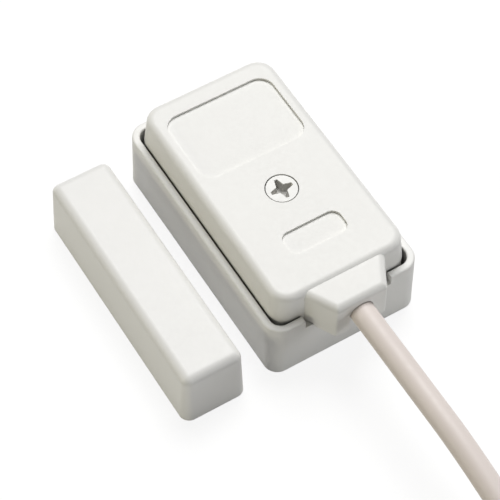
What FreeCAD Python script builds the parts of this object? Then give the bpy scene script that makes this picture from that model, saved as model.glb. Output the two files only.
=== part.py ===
import FreeCAD, Part
import math
import os
from types import SimpleNamespace

import Sketcher

# Magnetic shock sensor for a door or window, with its magnet and its lead.
# X runs across the sensor, away from the magnet, Y along it, away from the lead, and Z up.
# The origin is the middle of the mounting base's underside. All sizes are in millimetres.

SIZES = {
    # Mounting base: an open tray that is screwed to the frame
    "base_width": 30.0,
    "base_length": 50.5,
    "base_height": 12.8,
    "base_wall": 1.4,
    "base_floor": 2.0,
    "base_corner": 3.4,
    "foot_corner": 2.6,
    "rim_rounding": 0.35,
    "notch_gap": 0.65,
    "notch_room": 1.4,
    "fixing_inset": 6.85,
    "fixing_hole": 3.4,
    "fixing_countersink": 6.4,
    "fixing_pad": 9.4,
    "fixing_pad_height": 0.6,
    "pillar_width": 7.6,
    "pillar_height": 6.0,
    "pillar_rib": 1.2,
    "pillar_rib_height": 3.0,
    # Cap: a deep shell that drops into the base
    "cap_gap": 0.25,
    "cap_height": 18.85,
    "cap_wall": 1.5,
    "cap_roof": 1.4,
    "cap_corner": 3.2,
    "cap_top_corner": 3.6,
    "cap_side_lean": 0.515,
    "cap_end_lean": 0.175,
    "cap_rounding": 1.35,
    "draft_below_rim": 0.2,
    "skirt_lift": 0.4,
    "panel_side": 2.15,
    "panel_back": 3.9,
    "panel_length": 15.2,
    "panel_corner": 2.9,
    "panel_depth": 0.5,
    "plate_front": 7.0,
    "plate_width": 11.6,
    "plate_length": 4.95,
    "plate_corner": 1.8,
    "plate_depth": 0.5,
    # Tail of the cap, which the lead leaves by
    "tail_back_width": 16.0,
    "tail_front_width": 9.9,
    "tail_reach": 5.45,
    "tail_drop": 0.43,
    "tail_lift": 0.1,
    "tail_hang": 0.4,
    "tail_draft": 0.5,
    "tail_corner": 0.5,
    "tail_rounding": 1.3,
    "tail_wall": 1.3,
    "tail_roof": 1.4,
    "lead_gap": 0.1,
    # Cover screw and its insert
    "screw_place": -3.35,
    "screw_thread": 2.9,
    "screw_head": 5.6,
    "screw_edge": 0.9,
    "screw_sink": 0.1,
    "screw_reach": 3.45,
    "screw_hole": 3.4,
    "head_gap": 0.2,
    "recess_reach": 2.1,
    "recess_tip": 0.3,
    "recess_root": 0.7,
    "recess_depth": 1.8,
    "recess_draft": 9.0,
    "tunnel_width": 7.2,
    "insert_width": 4.4,
    "insert_length": 5.0,
    "insert_groove": 0.4,
    "thread_gap": 0.05,
    # Circuit board and the two screws that hold it to the cap
    "board_height": 8.3,
    "board_thickness": 1.6,
    "board_gap": 0.6,
    "board_corner": 2.6,
    "tunnel_gap": 0.4,
    "post_inset": 3.0,
    "post_width": 4.2,
    "post_screw": 2.2,
    "post_screw_reach": 5.0,
    "post_screw_head": 3.8,
    "post_screw_head_height": 1.4,
    # Reed switches, one beside the magnet and one that watches the cap
    "reed_width": 2.2,
    "reed_length": 14.0,
    "reed_glass": 0.35,
    "reed_seal": 2.0,
    "reed_height": 1.7,
    "reed_edge": 2.8,
    "reed_gap": 1.3,
    "reed_wire": 0.5,
    "reed_wire_reach": 2.2,
    "reed_overlap": 1.2,
    "reed_air": 0.12,
    "blade_width": 1.0,
    "blade_thickness": 0.2,
    "tamper_magnet_width": 5.0,
    "tamper_magnet_height": 2.5,
    "tamper_magnet_sink": 0.8,
    "tamper_magnet_gap": 0.05,
    # Piezo element that feels the shock
    "piezo_margin": 10.0,
    "piezo_width": 12.0,
    "piezo_thickness": 0.25,
    "ceramic_width": 9.0,
    "ceramic_thickness": 0.2,
    "piezo_pad_hole": 7.0,
    "piezo_pad_height": 0.8,
    "piezo_wire": 0.4,
    # Parts soldered under the board
    "chip_length": 4.9,
    "chip_width": 3.9,
    "chip_height": 1.5,
    "chip_lift": 0.15,
    "chip_margin": 12.5,
    "relay_length": 8.8,
    "relay_width": 6.4,
    "relay_height": 3.3,
    "relay_gap": 1.45,
    "pin_pitch": 1.27,
    "relay_pitch": 2.54,
    "pin_width": 0.42,
    "pin_thickness": 0.2,
    "pin_reach": 1.0,
    "small_length": 2.0,
    "small_width": 1.25,
    "small_height": 0.6,
    "small_pitch": 2.6,
    "small_edge": 3.65,
    "can_width": 4.0,
    "can_height": 5.4,
    "can_edge": 4.85,
    "can_y": -8.5,
    # Lead: an alarm cable of six cores
    "lead_width": 4.4,
    "lead_height": 14.4,
    "lead_start": 18.6,
    "lead_bend": 63.5,
    "lead_landing": 106.0,
    "collar_width": 6.4,
    "collar_length": 2.4,
    "collar_gap": 0.15,
    "core_width": 1.0,
    "core_circle": 1.25,
    "core_pad_y": -11.2,
    "core_pad_pitch": 2.2,
    "core_end_length": 26.0,
    # Coil that the rest of the lead is wound into
    "coil_x": -30.8,
    "coil_y": -146.0,
    "coil_middle": 50.0,
    "coil_columns": 4,
    "coil_layers": 3,
    "coil_rounding": 1.8,
    "coil_open_angle": 75.0,
    "coil_lead_in": 17.5,
    "tie_width": 3.2,
    "tie_thickness": 0.6,
    # Magnet that goes on the door
    "magnet_gap": 5.155,
    "magnet_y": -1.43,
    "magnet_width": 12.35,
    "magnet_length": 48.2,
    "magnet_height": 12.1,
    "magnet_wall": 1.4,
    "magnet_roof": 1.6,
    "magnet_corner": 1.9,
    "magnet_draft": 2.5,
    "magnet_rounding": 1.6,
    "magnet_plate_gap": 0.15,
    "magnet_plate": 2.4,
    "magnet_hole_inset": 3.55,
    "bar_width": 6.0,
    "bar_length": 24.0,
    "bar_height": 6.0,
    "bar_gap": 0.1,
    "stop_wall": 1.0,
    "stop_height": 3.2,
    "catch_length": 6.0,
    "catch_reach": 0.45,
    "catch_height": 0.8,
    "catch_place": 12.0,
    "catch_gap": 0.08,
}
CORE_NAMES = ["red", "black", "white", "green", "yellow", "blue"]

os.makedirs("parts", exist_ok=True)
doc = FreeCAD.newDocument("MagneticShockSensor")
sheet = doc.addObject("Spreadsheet::Sheet", "Sizes")
for row, (alias, amount) in enumerate(SIZES.items(), start=1):
    sheet.set(f"A{row}", alias)
    sheet.set(f"B{row}", str(amount))
    sheet.setAlias(f"B{row}", alias)
doc.recompute()


class Size:
    """A length or an angle that knows its formula in the spreadsheet and its value."""

    def __init__(self, formula, amount):
        self.formula = formula
        self.amount = amount

    def join(self, other, sign, amount):
        return Size(f"({self.formula} {sign} {formula(other)})", amount)

    def __add__(self, other):
        return self.join(other, "+", self.amount + value(other))

    def __sub__(self, other):
        return self.join(other, "-", self.amount - value(other))

    def __mul__(self, other):
        return self.join(other, "*", self.amount * value(other))

    def __truediv__(self, other):
        return self.join(other, "/", self.amount / value(other))

    def __neg__(self):
        return Size(f"(0 - {self.formula})", -self.amount)


def formula(size):
    return size.formula if isinstance(size, Size) else str(size)


def value(size):
    return size.amount if isinstance(size, Size) else float(size)


size = SimpleNamespace(**{name: Size(f"Sizes.{name}", float(sheet.get(name))) for name in SIZES})
nodes = {}


def keep(name, item):
    """Names an object as one of the sub-parts that are written out."""
    item.Label = name
    nodes[name] = item
    return item


def bind(item, prop, amount):
    item.setExpression(prop, formula(amount))


def place(item, x=0, y=0, z=0):
    """Puts an object at a place that follows its sizes."""
    for axis, amount in zip("xyz", (x, y, z)):
        bind(item, f"Placement.Base.{axis}", amount)
    return item


# Sketches

def new_body(name):
    body = doc.addObject("PartDesign::Body", name)
    return keep(name, body)


def new_sketch(body, name, x=0, y=0, z=0, role="XY_Plane"):
    """A sketch on one of the body's origin planes, moved by x and y in it and by z along its normal."""
    sketch = body.newObject("Sketcher::SketchObject", name)
    plane = next(item for item in body.Origin.OriginFeatures if item.Role == role)
    sketch.AttachmentSupport = [(plane, "")]
    sketch.MapMode = "FlatFace"
    for axis, amount in zip("xyz", (x, y, z)):
        bind(sketch, f"AttachmentOffset.Base.{axis}", amount)
    return sketch


def hold(sketch, kind, *rest, size_value):
    """Adds a constraint whose value follows a size."""
    index = sketch.addConstraint(Sketcher.Constraint(kind, *rest, value(size_value)))
    bind(sketch, f"Constraints[{index}]", size_value)


def outline(sketch, corners):
    """Joins corners with straight lines, each corner held at its own place."""
    first = sketch.GeometryCount
    points = [FreeCAD.Vector(value(x), value(y), 0) for x, y in corners]
    for start, end in zip(points, points[1:] + points[:1]):
        sketch.addGeometry(Part.LineSegment(start, end), False)
    for number, (x, y) in enumerate(corners):
        line, previous = first + number, first + (number - 1) % len(corners)
        sketch.addConstraint(Sketcher.Constraint("Coincident", previous, 2, line, 1))
        for kind, axis, amount in (("DistanceX", -2, x), ("DistanceY", -1, y)):
            if isinstance(amount, Size):
                hold(sketch, kind, -1, 1, line, 1, size_value=amount)
            else:
                sketch.addConstraint(Sketcher.Constraint("PointOnObject", line, 1, axis))


def rectangle(sketch, width, length):
    """A rectangle about the sketch's origin."""
    x, y = width / 2, length / 2
    outline(sketch, [(-x, -y), (x, -y), (x, y), (-x, y)])


def rounded_rectangle(sketch, width, length, radius):
    """A rectangle about the sketch's origin, with round corners."""
    x, y, r = value(width) / 2, value(length) / 2, value(radius)
    right, up = FreeCAD.Vector(x, 0, 0), FreeCAD.Vector(0, y, 0)
    sides = []
    for number, (out, along) in enumerate(((-up, right), (right, up), (up, -right), (-right, -up))):
        length_left = 1 - r / along.Length
        start, end = out - along * length_left, out + along * length_left
        sides.append(sketch.addGeometry(Part.LineSegment(start, end), False))
        centre = out * (1 - r / out.Length) + along * length_left
        circle = Part.Circle(centre, FreeCAD.Vector(0, 0, 1), r)
        turn = (number - 1) * math.pi / 2
        sketch.addGeometry(Part.ArcOfCircle(circle, turn, turn + math.pi / 2), False)
    bottom, side, top, left = sides
    for line in sides:
        following = sides[(sides.index(line) + 1) % 4]
        sketch.addConstraint(Sketcher.Constraint("Tangent", line, 2, line + 1, 1))
        sketch.addConstraint(Sketcher.Constraint("Tangent", line + 1, 2, following, 1))
        if line != bottom:
            sketch.addConstraint(Sketcher.Constraint("Equal", bottom + 1, line + 1))
    sketch.addConstraint(Sketcher.Constraint("Symmetric", bottom, 1, bottom, 2, -2))
    sketch.addConstraint(Sketcher.Constraint("Symmetric", side, 1, side, 2, -1))
    sketch.addConstraint(Sketcher.Constraint("Horizontal", top))
    sketch.addConstraint(Sketcher.Constraint("Vertical", left))
    hold(sketch, "Radius", bottom + 1, size_value=radius)
    hold(sketch, "DistanceX", left, 1, side, 1, size_value=width)
    hold(sketch, "DistanceY", bottom, 1, top, 1, size_value=length)


def circles(sketch, diameter, *centres):
    """Circles of one diameter, each with its centre held at its own place."""
    for x, y in centres or [(0, 0)]:
        centre = FreeCAD.Vector(value(x), value(y), 0)
        circle = sketch.addGeometry(
            Part.Circle(centre, FreeCAD.Vector(0, 0, 1), value(diameter) / 2), False
        )
        hold(sketch, "Diameter", circle, size_value=diameter)
        for kind, axis, amount in (("DistanceX", -2, x), ("DistanceY", -1, y)):
            if isinstance(amount, Size):
                hold(sketch, kind, -1, 1, circle, 3, size_value=amount)
            else:
                sketch.addConstraint(Sketcher.Constraint("PointOnObject", circle, 3, axis))


def archway(sketch, radius, bottom, spring):
    """An upright opening with a round top, about the sketch's vertical axis."""
    r, low, high = value(radius), value(bottom), value(spring)
    circle = Part.Circle(FreeCAD.Vector(0, high, 0), FreeCAD.Vector(0, 0, 1), r)
    arc = sketch.addGeometry(Part.ArcOfCircle(circle, 0, math.pi), False)
    corners = [FreeCAD.Vector(x, y, 0) for x, y in ((-r, high), (-r, low), (r, low), (r, high))]
    left, floor, right = (
        sketch.addGeometry(Part.LineSegment(start, end), False) for start, end in zip(corners, corners[1:])
    )
    for one, other in ((arc, left), (left, floor), (floor, right), (right, arc)):
        sketch.addConstraint(Sketcher.Constraint("Coincident", one, 2, other, 1))
    sketch.addConstraint(Sketcher.Constraint("Symmetric", arc, 1, arc, 2, arc, 3))
    sketch.addConstraint(Sketcher.Constraint("PointOnObject", arc, 3, -2))
    sketch.addConstraint(Sketcher.Constraint("Vertical", left))
    sketch.addConstraint(Sketcher.Constraint("Vertical", right))
    sketch.addConstraint(Sketcher.Constraint("Horizontal", floor))
    hold(sketch, "Radius", arc, size_value=radius)
    hold(sketch, "DistanceY", -1, 1, arc, 3, size_value=spring)
    hold(sketch, "DistanceY", -1, 1, left, 2, size_value=bottom)


# Features

def settle(body, feature, before, grows):
    """Makes a feature the body's last one, and stops if it hasn't changed the volume the right way."""
    body.Tip = feature
    doc.recompute()
    if "Invalid" in feature.State or "Error" in feature.State or feature.Shape.isNull():
        raise RuntimeError(f"{body.Label}: {feature.Name} failed")
    change = feature.Shape.Volume - before
    if (change > 1e-6) != grows:
        raise RuntimeError(f"{body.Label}: {feature.Name} changed the volume by {change:.4f}")
    return feature


def volume(body):
    doc.recompute()
    return 0.0 if body.Shape.isNull() else body.Shape.Volume


def extrude(kind, body, sketch, length, draft, upward, name):
    before = volume(body)
    feature = body.newObject(f"PartDesign::{kind}", name or f"{sketch.Name}_{kind}")
    feature.Profile = sketch
    bind(feature, "Length", length)
    if draft is not None:
        bind(feature, "TaperAngle", draft)
    feature.Reversed = upward if kind == "Pocket" else not upward
    return settle(body, feature, before, kind == "Pad")


def pad(body, sketch, length, draft=None, upward=True, name=None):
    return extrude("Pad", body, sketch, length, draft, upward, name)


def pocket(body, sketch, length, draft=None, upward=False, name=None):
    return extrude("Pocket", body, sketch, length, draft, upward, name)


def revolve(body, sketch, name):
    """Turns a profile drawn in the XZ plane about its vertical axis."""
    before = volume(body)
    feature = body.newObject("PartDesign::Revolution", name)
    feature.Profile = sketch
    feature.ReferenceAxis = (sketch, ["V_Axis"])
    feature.Angle = 360
    return settle(body, feature, before, True)


def loft(body, sketches, name, kind="Additive"):
    """Joins two outlines at different heights, or cuts away what lies between them."""
    before = volume(body)
    feature = body.newObject(f"PartDesign::{kind}Loft", name)
    feature.Profile = sketches[0]
    feature.Sections = sketches[1:]
    feature.Ruled = True
    return settle(body, feature, before, kind == "Additive")


def join(body, other, name):
    """Fuses another body to this one."""
    before = volume(body)
    feature = body.newObject("PartDesign::Boolean", name)
    feature.Type = "Fuse"
    feature.setObjects([other])
    return settle(body, feature, before, True)


def holes(body, sketch, diameter, countersink, name):
    """Countersunk holes right through, one at each circle of the sketch."""
    before = volume(body)
    feature = body.newObject("PartDesign::Hole", name)
    feature.Profile = sketch
    doc.recompute()
    feature.DepthType = "ThroughAll"
    feature.HoleCutType = "Countersink"
    feature.HoleCutCountersinkAngle = 90
    bind(feature, "Diameter", diameter)
    bind(feature, "HoleCutDiameter", countersink)
    return settle(body, feature, before, False)


def fillet(body, name, radius, chosen):
    """Rounds the edges of the body that chosen() picks."""
    before = volume(body)
    base = body.Tip
    names = [f"Edge{i}" for i, edge in enumerate(base.Shape.Edges, start=1) if chosen(edge)]
    if not names:
        raise RuntimeError(f"{body.Label}: {name} finds no edge")
    feature = body.newObject("PartDesign::Fillet", name)
    feature.Base = (base, names)
    bind(feature, "Radius", radius)
    body.Tip = feature
    doc.recompute()
    if "Invalid" in feature.State or abs(feature.Shape.Volume - before) < 1e-6:
        raise RuntimeError(f"{body.Label}: {name} failed")
    return feature


def flat_at(edge, z):
    """True for an edge that lies level at height z."""
    box = edge.BoundBox
    return abs(box.ZMin - value(z)) < 1e-4 and abs(box.ZMax - value(z)) < 1e-4


# Shared places, worked out from the sizes

floor_top = size.base_floor
cavity_width = size.base_width - size.base_wall * 2
cavity_length = size.base_length - size.base_wall * 2
cap_width = cavity_width - size.cap_gap * 2
cap_length = cavity_length - size.cap_gap * 2
cap_front = -cap_length / 2
cap_top_width = cap_width - size.cap_side_lean * 2
cap_top_length = cap_length - size.cap_end_lean * 2
draft_start = size.base_height - size.draft_below_rim
skirt_bottom = floor_top + size.skirt_lift
ceiling = size.cap_height - size.cap_roof
pillar_top = floor_top + size.pillar_height
lead_radius = size.lead_width / 2
channel_radius = lead_radius + size.lead_gap
notch_floor = size.lead_height - lead_radius - size.notch_room
tail_bottom = notch_floor - size.tail_hang
tail_top = size.cap_height - size.tail_drop
tail_front = cap_front - size.tail_reach
tail_spread = (size.tail_back_width - size.tail_front_width) / size.tail_reach / 2
screw_top = size.cap_height - size.screw_sink
screw_length = screw_top - pillar_top + size.screw_reach
head_radius = size.screw_head / 2
thread_radius = size.screw_thread / 2
board_top = size.board_height + size.board_thickness
board_width = cap_width - (size.cap_wall + size.board_gap) * 2
board_length = cap_length - (size.cap_wall + size.board_gap) * 2
post_x = board_width / 2 - size.post_inset
post_y = board_length / 2 - size.post_inset
post_places = [(-post_x, -post_y), (post_x, post_y)]
reed_x = board_width / 2 - size.reed_edge
reed_half = size.reed_length / 2 + size.reed_wire_reach + size.reed_wire / 2
reed_y = post_y - size.post_screw_head / 2 - size.reed_gap - reed_half
chip_y = board_length / 2 - size.chip_margin
relay_y = size.screw_place - size.pillar_width / 2 - size.relay_gap - size.relay_length / 2
piezo_y = board_length / 2 - size.piezo_margin
can_x = board_width / 2 - size.can_edge
magnet_x = -(size.base_width / 2 + size.magnet_gap + size.magnet_width / 2)


def leaning_in(height):
    """How far the cap's sides and its ends have come in at a height above the rim."""
    share = (height - draft_start) / (size.cap_height - draft_start)
    return size.cap_side_lean * share, size.cap_end_lean * share


collar_front = cap_front + size.cap_wall + leaning_in(size.lead_height + size.collar_width / 2)[1]


# Mounting base

def make_mounting_base():
    body = new_body("mounting_base")
    foot = new_sketch(body, "FootOutline")
    rounded_rectangle(foot, size.base_width, size.base_length, size.foot_corner)
    rim = new_sketch(body, "RimOutline", z=size.base_height)
    rounded_rectangle(rim, size.base_width, size.base_length, size.base_corner)
    loft(body, [foot, rim], "Tray")
    cavity = new_sketch(body, "BaseCavity", z=size.base_height)
    rounded_rectangle(cavity, cavity_width, cavity_length, size.base_corner - size.base_wall)
    pocket(body, cavity, size.base_height - floor_top)
    fillet(body, "RimRounding", size.rim_rounding, lambda edge: flat_at(edge, size.base_height))

    notch = new_sketch(body, "LeadNotch", y=-size.base_length / 2, z=size.base_height)
    rectangle(notch, size.tail_back_width + size.notch_gap * 2, size.base_wall * 3)
    pocket(body, notch, size.base_height - notch_floor)

    pads = new_sketch(body, "FixingPads", z=floor_top)
    fixing_y = cavity_length / 2 - size.fixing_inset
    fixings = [(0, -fixing_y), (0, fixing_y)]
    circles(pads, size.fixing_pad, *fixings)
    pad(body, pads, size.fixing_pad_height)
    fixing = new_sketch(body, "FixingHoles", z=floor_top + size.fixing_pad_height)
    circles(fixing, size.fixing_hole, *fixings)
    holes(body, fixing, size.fixing_hole, size.fixing_countersink, "FixingHole")

    ribs = new_sketch(body, "PillarRibs", y=size.screw_place, z=floor_top)
    rectangle(ribs, cap_width - size.cap_wall * 2 - size.cap_gap * 4, size.pillar_rib)
    pad(body, ribs, size.pillar_rib_height)
    pillar = new_sketch(body, "Pillar", y=size.screw_place, z=floor_top)
    circles(pillar, size.pillar_width)
    pad(body, pillar, size.pillar_height)
    seat = new_sketch(body, "InsertSeat", y=size.screw_place, z=pillar_top)
    circles(seat, size.insert_width)
    pocket(body, seat, size.insert_length)

    magnet_seat = new_sketch(body, "TamperSeat", x=reed_x, y=reed_y, z=floor_top)
    circles(magnet_seat, size.tamper_magnet_width + size.tamper_magnet_gap * 2)
    pocket(body, magnet_seat, size.tamper_magnet_sink)


# Cap, with its tail

def make_sensor_cap():
    body = new_body("sensor_cap")
    skirt = new_sketch(body, "SkirtOutline", z=skirt_bottom)
    rounded_rectangle(skirt, cap_width, cap_length, size.cap_corner)
    pad(body, skirt, draft_start - skirt_bottom)
    lower = new_sketch(body, "CapLowerOutline", z=draft_start)
    rounded_rectangle(lower, cap_width, cap_length, size.cap_corner)
    upper = new_sketch(body, "CapUpperOutline", z=size.cap_height)
    rounded_rectangle(upper, cap_top_width, cap_top_length, size.cap_top_corner)
    loft(body, [lower, upper], "CapSides")
    fillet(body, "CapRounding", size.cap_rounding, lambda edge: flat_at(edge, size.cap_height))

    join(body, make_tail(), "TailJoined")
    width, length = cap_width - size.cap_wall * 2, cap_length - size.cap_wall * 2
    skirt_cavity = new_sketch(body, "SkirtCavity", z=skirt_bottom)
    rounded_rectangle(skirt_cavity, width, length, size.cap_corner - size.cap_wall)
    pocket(body, skirt_cavity, draft_start - skirt_bottom, upward=True)
    lower_cavity = new_sketch(body, "CavityLower", z=draft_start)
    rounded_rectangle(lower_cavity, width, length, size.cap_corner - size.cap_wall)
    upper_cavity = new_sketch(body, "CavityUpper", z=ceiling)
    side_lean, end_lean = leaning_in(ceiling)
    corner = size.cap_top_corner - size.cap_wall
    rounded_rectangle(upper_cavity, width - side_lean * 2, length - end_lean * 2, corner)
    loft(body, [lower_cavity, upper_cavity], "CapCavity", kind="Subtractive")

    panel_y = cap_top_length / 2 - size.panel_back - size.panel_length / 2
    panel = new_sketch(body, "PanelRecess", y=panel_y, z=size.cap_height)
    rounded_rectangle(panel, cap_top_width - size.panel_side * 2, size.panel_length, size.panel_corner)
    pocket(body, panel, size.panel_depth)
    plate_y = size.plate_front + size.plate_length / 2 - cap_top_length / 2
    plate = new_sketch(body, "PlateRecess", y=plate_y, z=size.cap_height)
    rounded_rectangle(plate, size.plate_width, size.plate_length, size.plate_corner)
    pocket(body, plate, size.plate_depth)

    make_lead_channel(body)
    make_posts(body)
    make_screw_tunnel(body)


def make_tail():
    """The tail by itself, from inside the cap's front wall. Its lower lip hangs down outside the base."""
    body = doc.addObject("PartDesign::Body", "Tail")
    tail = new_sketch(body, "TailOutline", z=tail_bottom)
    inside = size.cap_wall + size.cap_rounding
    back, front = size.tail_back_width / 2 + tail_spread * inside, size.tail_front_width / 2
    outline(tail, [
        (-back, cap_front + inside),
        (-front, tail_front),
        (front, tail_front),
        (back, cap_front + inside),
    ])
    pad(body, tail, tail_top - tail_bottom, draft=-size.tail_draft)
    fillet(body, "TailCorners", size.tail_corner, is_tail_corner)
    fillet(body, "TailRounding", size.tail_rounding, is_tail_rim)
    # Over the base's wall the lip is cut back, so that it clears the floor of the notch
    lip = size.base_length / 2 + size.tail_lift
    step = new_sketch(body, "TailStep", y=(cap_front - lip) / 2, z=tail_bottom)
    rectangle(step, size.tail_back_width + size.notch_gap * 2, lip + cap_front)
    pocket(body, step, size.tail_hang + size.tail_lift, upward=True)
    return body


def is_tail_corner(edge):
    """True for the two upright edges at the front of the tail."""
    box = edge.BoundBox
    upright = box.ZLength > value(tail_top - tail_bottom) * 0.9
    return upright and box.YMax < value(cap_front - size.tail_reach / 2)


def is_tail_rim(edge):
    """True for the edges round the top of the tail, but not for the one inside the cap."""
    return flat_at(edge, tail_top) and edge.CenterOfMass.y < value(cap_front)


def make_lead_channel(body):
    """Cuts the lead's arched channel, cores out the tail beside it and seats the lead's collar."""
    depth = size.tail_reach + size.cap_wall * 3
    arch = new_sketch(body, "LeadArch", z=-tail_front + size.tail_wall, role="XZ_Plane")
    archway(arch, channel_radius, tail_bottom - size.tail_wall, size.lead_height)
    pocket(body, arch, depth)

    core = new_sketch(body, "TailCores", z=tail_bottom)
    near = channel_radius + size.tail_wall
    wide = size.tail_back_width / 2 - size.tail_wall
    back = cap_front + size.cap_wall * 2
    far = tail_front + size.tail_wall
    narrow = wide - tail_spread * (cap_front - far)
    for side in (1, -1):
        outline(core, [
            (near * side, far),
            (near * side, back),
            (wide * side, back),
            (wide * side, cap_front),
            (narrow * side, far),
        ])
    pocket(body, core, tail_top - size.tail_roof - tail_bottom, upward=True)
    seat = new_sketch(body, "CollarSeat", y=size.lead_height, z=-collar_front, role="XZ_Plane")
    circles(seat, size.collar_width + size.collar_gap * 2)
    pocket(body, seat, size.collar_length + size.collar_gap)


def make_posts(body):
    """Two posts under the roof that the board is screwed to."""
    posts = new_sketch(body, "BoardPosts", z=board_top)
    circles(posts, size.post_width, *post_places)
    pad(body, posts, ceiling - board_top + size.cap_roof / 4)
    pilot = new_sketch(body, "PostHoles", z=board_top)
    circles(pilot, size.post_screw + size.thread_gap * 2, *post_places)
    pocket(body, pilot, size.post_screw_reach + size.thread_gap, upward=True)


def make_screw_tunnel(body):
    """The tunnel that the cover screw passes down, with the seat of its head."""
    tunnel = new_sketch(body, "ScrewTunnel", y=size.screw_place, z=pillar_top)
    circles(tunnel, size.tunnel_width)
    pad(body, tunnel, ceiling - pillar_top + size.cap_roof / 4)
    passage = new_sketch(body, "ScrewPassage", y=size.screw_place, z=size.cap_height)
    circles(passage, size.screw_hole)
    pocket(body, passage, size.cap_height - pillar_top + size.cap_roof)
    rim = new_sketch(body, "HeadSeat", y=size.screw_place, z=size.cap_height)
    circles(rim, (head_radius + size.head_gap) * 2)
    pocket(body, rim, size.screw_sink + size.screw_edge - size.head_gap)
    cone = new_sketch(body, "HeadCone", y=size.screw_place, z=screw_top - size.screw_edge + size.head_gap)
    circles(cone, (head_radius + size.head_gap) * 2)
    depth = head_radius + size.head_gap - size.screw_hole / 2
    pocket(body, cone, depth, draft=Size("(0 - 45)", -45.0))


# Cover screw, and the insert that it goes into

def make_cover_screw():
    body = new_body("cover_screw")
    profile = new_sketch(body, "ScrewProfile", role="XZ_Plane")
    edge = -size.screw_edge
    neck = edge - (head_radius - thread_radius)
    tip = thread_radius / 3
    outline(profile, [
        (0, 0),
        (head_radius, 0),
        (head_radius, edge),
        (thread_radius, neck),
        (thread_radius, tip - screw_length),
        (thread_radius - tip, -screw_length),
        (0, -screw_length),
    ])
    revolve(body, profile, "ScrewTurned")
    recess = new_sketch(body, "CrossRecess")
    corners = []
    reach, tip_half, root = size.recess_reach, size.recess_tip, size.recess_root
    for x, y in ((1, 1), (-1, 1), (-1, -1), (1, -1)):
        quarter = [(reach * x, tip_half * y), (root * x, root * y), (tip_half * x, reach * y)]
        corners += quarter if x * y > 0 else quarter[::-1]
    outline(recess, corners)
    pocket(body, recess, size.recess_depth, draft=-size.recess_draft)
    place(body, y=size.screw_place, z=screw_top)


def make_threaded_insert():
    body = new_body("threaded_insert")
    profile = new_sketch(body, "InsertProfile", role="XZ_Plane")
    bore, outer = thread_radius + size.thread_gap, size.insert_width / 2
    waist = outer - size.insert_groove
    third = size.insert_length / 3
    outline(profile, [
        (bore, 0),
        (outer, 0),
        (outer, third),
        (waist, third + size.insert_groove),
        (waist, third * 2 - size.insert_groove),
        (outer, third * 2),
        (outer, size.insert_length),
        (bore, size.insert_length),
    ])
    revolve(body, profile, "InsertTurned")
    place(body, y=size.screw_place, z=pillar_top - size.insert_length)


# Circuit board and what holds it

def make_circuit_board():
    body = new_body("circuit_board")
    outside = new_sketch(body, "BoardOutline")
    rounded_rectangle(outside, board_width, board_length, size.board_corner)
    pad(body, outside, size.board_thickness)
    drilled = new_sketch(body, "BoardHoles", z=size.board_thickness)
    circles(drilled, size.post_screw + size.thread_gap * 4, *post_places)
    circles(drilled, size.tunnel_width + size.tunnel_gap * 2, (0, size.screw_place))
    pocket(body, drilled, size.board_thickness * 2)
    place(body, z=size.board_height)


def make_board_screws():
    """Two pan-head screws that point up into the cap's posts."""
    screws = []
    for number, (x, y) in enumerate(post_places, start=1):
        head = doc.addObject("Part::Cylinder", f"BoardScrewHead{number}")
        bind(head, "Radius", size.post_screw_head / 2)
        bind(head, "Height", size.post_screw_head_height)
        place(head, x, y, size.board_height - size.post_screw_head_height)
        shank = doc.addObject("Part::Cylinder", f"BoardScrewShank{number}")
        bind(shank, "Radius", size.post_screw / 2)
        bind(shank, "Height", size.board_thickness + size.post_screw_reach)
        place(shank, x, y, size.board_height)
        screw = doc.addObject("Part::Fuse", f"BoardScrew{number}")
        screw.Base, screw.Tool = head, shank
        screws.append(screw)
    group = keep("board_screws", doc.addObject("Part::Compound", "BoardScrews"))
    group.Links = screws


# Reed switches

def make_reed(prefix, x, y, board_face, facing):
    """A sealed glass tube along Y with two overlapping blades, its wires bent to the board's face."""
    height = board_face + size.reed_height * facing
    body = new_body(f"{prefix}_capsule")
    profile = new_sketch(body, f"{prefix}_profile", role="XZ_Plane")
    outer, inner = size.reed_width / 2, size.reed_width / 2 - size.reed_glass
    wire, half = size.reed_wire / 2, size.reed_length / 2
    outline(profile, [
        (wire, -half),
        (outer, -half),
        (outer, half),
        (wire, half),
        (wire, half - size.reed_seal),
        (inner, half - size.reed_seal),
        (inner, -half + size.reed_seal),
        (wire, -half + size.reed_seal),
    ])
    revolve(body, profile, f"{prefix}_glass")
    body.Placement.Rotation = FreeCAD.Rotation(FreeCAD.Vector(1, 0, 0), 90)
    place(body, x, y, height)
    blades = []
    for end in (1, -1):
        paddle_reach = value(size.reed_length / 2 - size.reed_seal)
        paddle = Part.makeBox(
            value(size.blade_width),
            paddle_reach + value(size.reed_overlap) / 2,
            value(size.blade_thickness),
        )
        lift = end * value(size.reed_air + size.blade_thickness) / 2 - value(size.blade_thickness) / 2
        paddle.translate(FreeCAD.Vector(-value(size.blade_width) / 2, -value(size.reed_overlap) / 2, lift))
        outside = value(half) + value(size.reed_wire_reach)
        down = -value(size.reed_height) * facing
        route = [(0, paddle_reach - 0.2, 0), (0, outside, 0), (0, outside, down)]
        blade = paddle.fuse(tube(route, value(size.reed_wire)))
        blade.rotate(FreeCAD.Vector(), FreeCAD.Vector(0, 0, 1), 0 if end > 0 else 180)
        blade.translate(FreeCAD.Vector(value(x), value(y), value(height)))
        blades.append(blade)
    shape_node(f"{prefix}_blades", blades)


def make_tamper_magnet():
    disc = keep("tamper_magnet", doc.addObject("Part::Cylinder", "TamperMagnet"))
    bind(disc, "Radius", size.tamper_magnet_width / 2)
    bind(disc, "Height", size.tamper_magnet_height)
    place(disc, reed_x, reed_y, floor_top - size.tamper_magnet_sink)


# Piezo element

def disc_node(name, diameter, height, z):
    disc = keep(name, doc.addObject("Part::Cylinder", name))
    bind(disc, "Radius", diameter / 2)
    bind(disc, "Height", height)
    return place(disc, y=piezo_y, z=z)


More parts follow.
